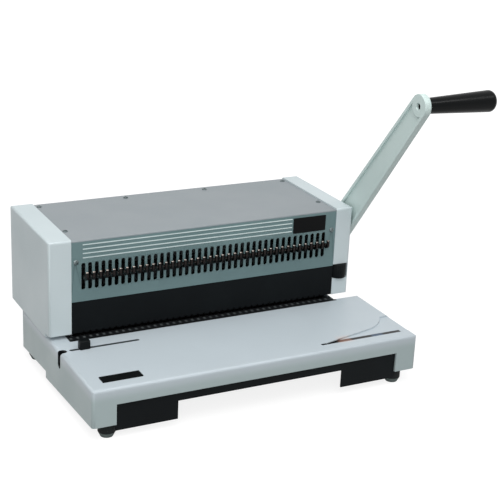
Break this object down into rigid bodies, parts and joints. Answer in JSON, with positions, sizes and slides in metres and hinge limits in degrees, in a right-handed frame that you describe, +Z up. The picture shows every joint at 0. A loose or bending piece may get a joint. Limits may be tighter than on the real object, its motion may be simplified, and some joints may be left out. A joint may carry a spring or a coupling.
{
  "type": "wire binding machine",
  "caption": "Desk-top wire binding machine: a hand lever drives a row of square punches through paper in a throat; wire hooks stand out of a slotted panel above a broad tray.",
  "frame": {"origin": "on the desk under the middle of the whole machine's box", "axes": "+X along the punch row towards the lever, +Y from the user to the back, +Z up"},
  "size_m": [0.5274, 0.297, 0.3673],
  "materials": {
    "light_grey": "moulded light grey, fine satin grain",
    "cover_grey": "mid grey powder coat",
    "panel_green_grey": "grey-green paint, satin",
    "black_paint": "black semi-gloss paint",
    "black_plate": "bare black plate",
    "silver_trim": "bright silver line",
    "zinc_steel": "zinc plated sheet",
    "ground_steel": "ground tool steel",
    "dark_steel": "blackened steel",
    "screw_steel": "plated screws",
    "bronze": "sintered bronze",
    "black_rubber": "moulded rubber",
    "lever_grey": "cast arm, light grey enamel",
    "black_gloss": "glossy black moulded grip",
    "black_plastic": "black moulded plastic",
    "drawer_black": "dark moulded drawer"
  },
  "bodies": {
    "machine": {"base_cover": "light_grey", "left_end_cap": "light_grey", "right_end_cap": "light_grey", "top_cover": "cover_grey", "rear_cover": "cover_grey", "front_panel": "panel_green_grey", "chassis_frame": "black_paint", "throat_panel": "black_paint", "front_badge": "black_plate", "base_badge": "black_plate", "trim_lines": "silver_trim", "left_side_frame": "zinc_steel", "right_side_frame": "zinc_steel", "tie_bar": "zinc_steel", "drawer_runners": "zinc_steel", "die_plate": "ground_steel", "paper_stop": "ground_steel", "punch_guide": "ground_steel", "guide_pillars": "ground_steel", "return_springs": "dark_steel", "pillar_nuts": "dark_steel", "stack_bolts": "dark_steel", "foot_screws": "screw_steel", "base_screws": "screw_steel", "cap_screws": "screw_steel", "top_screws": "screw_steel", "panel_screws": "screw_steel", "rear_screws": "screw_steel", "shaft_bushes": "bronze", "rubber_feet": "black_rubber"},
    "lever": {"main_shaft": "ground_steel", "drive_pinions": "dark_steel", "shaft_collar": "dark_steel", "lever_spacer": "dark_steel", "lever_arm": "lever_grey", "lever_bolt": "dark_steel", "grip_bolt": "dark_steel"},
    "grip": {"hand_grip": "black_gloss"},
    "punch": {"punch_bar": "dark_steel", "punch_pins": "ground_steel", "pin_clamp": "dark_steel", "drive_racks": "dark_steel", "rack_screws": "screw_steel"},
    "hooks": {"hook_rail": "dark_steel", "wire_hooks": "dark_steel", "lift_plate": "zinc_steel", "lift_screw": "ground_steel"},
    "wheel": {"height_wheel": "black_plastic"},
    "edge": {"edge_guide": "black_plastic", "guide_clamp": "dark_steel", "guide_screw": "screw_steel"},
    "drawer": {"waste_drawer": "drawer_black"}
  },
  "joints": [
    {"name": "lever_swing", "type": "hinge", "parent": "machine", "child": "lever", "pos_m": [0.1588, 0.0335, 0.1546], "axis": [1, 0, 0], "range_deg": [0, 60], "stiffness_Nm_per_rad": 1, "springref_deg": -57.3},
    {"name": "grip_spin", "type": "hinge", "parent": "lever", "child": "grip", "pos_m": [0.2137, -0.12434, 0.35232], "axis": [1, 0, 0], "continuous": true},
    {"name": "punch_slide", "type": "slide", "parent": "machine", "child": "punch", "axis": [0, 0, -1], "range_m": [0, 0.01257], "deforming": ["return_springs"]},
    {"name": "wheel_turn", "type": "hinge", "parent": "machine", "child": "wheel", "pos_m": [0.13881, 0.0025, 0.1025], "axis": [0, 0, 1], "range_deg": [-360, 360]},
    {"name": "hook_lift", "type": "slide", "parent": "machine", "child": "hooks", "axis": [0, 0, 1], "range_m": [-0.011, 0.011]},
    {"name": "edge_slide", "type": "slide", "parent": "machine", "child": "edge", "axis": [1, 0, 0], "range_m": [-0.0135, 0.0655]},
    {"name": "drawer_slide", "type": "slide", "parent": "machine", "child": "drawer", "axis": [0, 1, 0], "range_m": [0, 0.095]}
  ],
  "couplings": [
    {"joint": "punch_slide", "follows": "lever_swing", "m_per_rad": 0.012},
    {"joint": "wheel_turn", "follows": "hook_lift", "rad_per_m": -571.2}
  ]
}
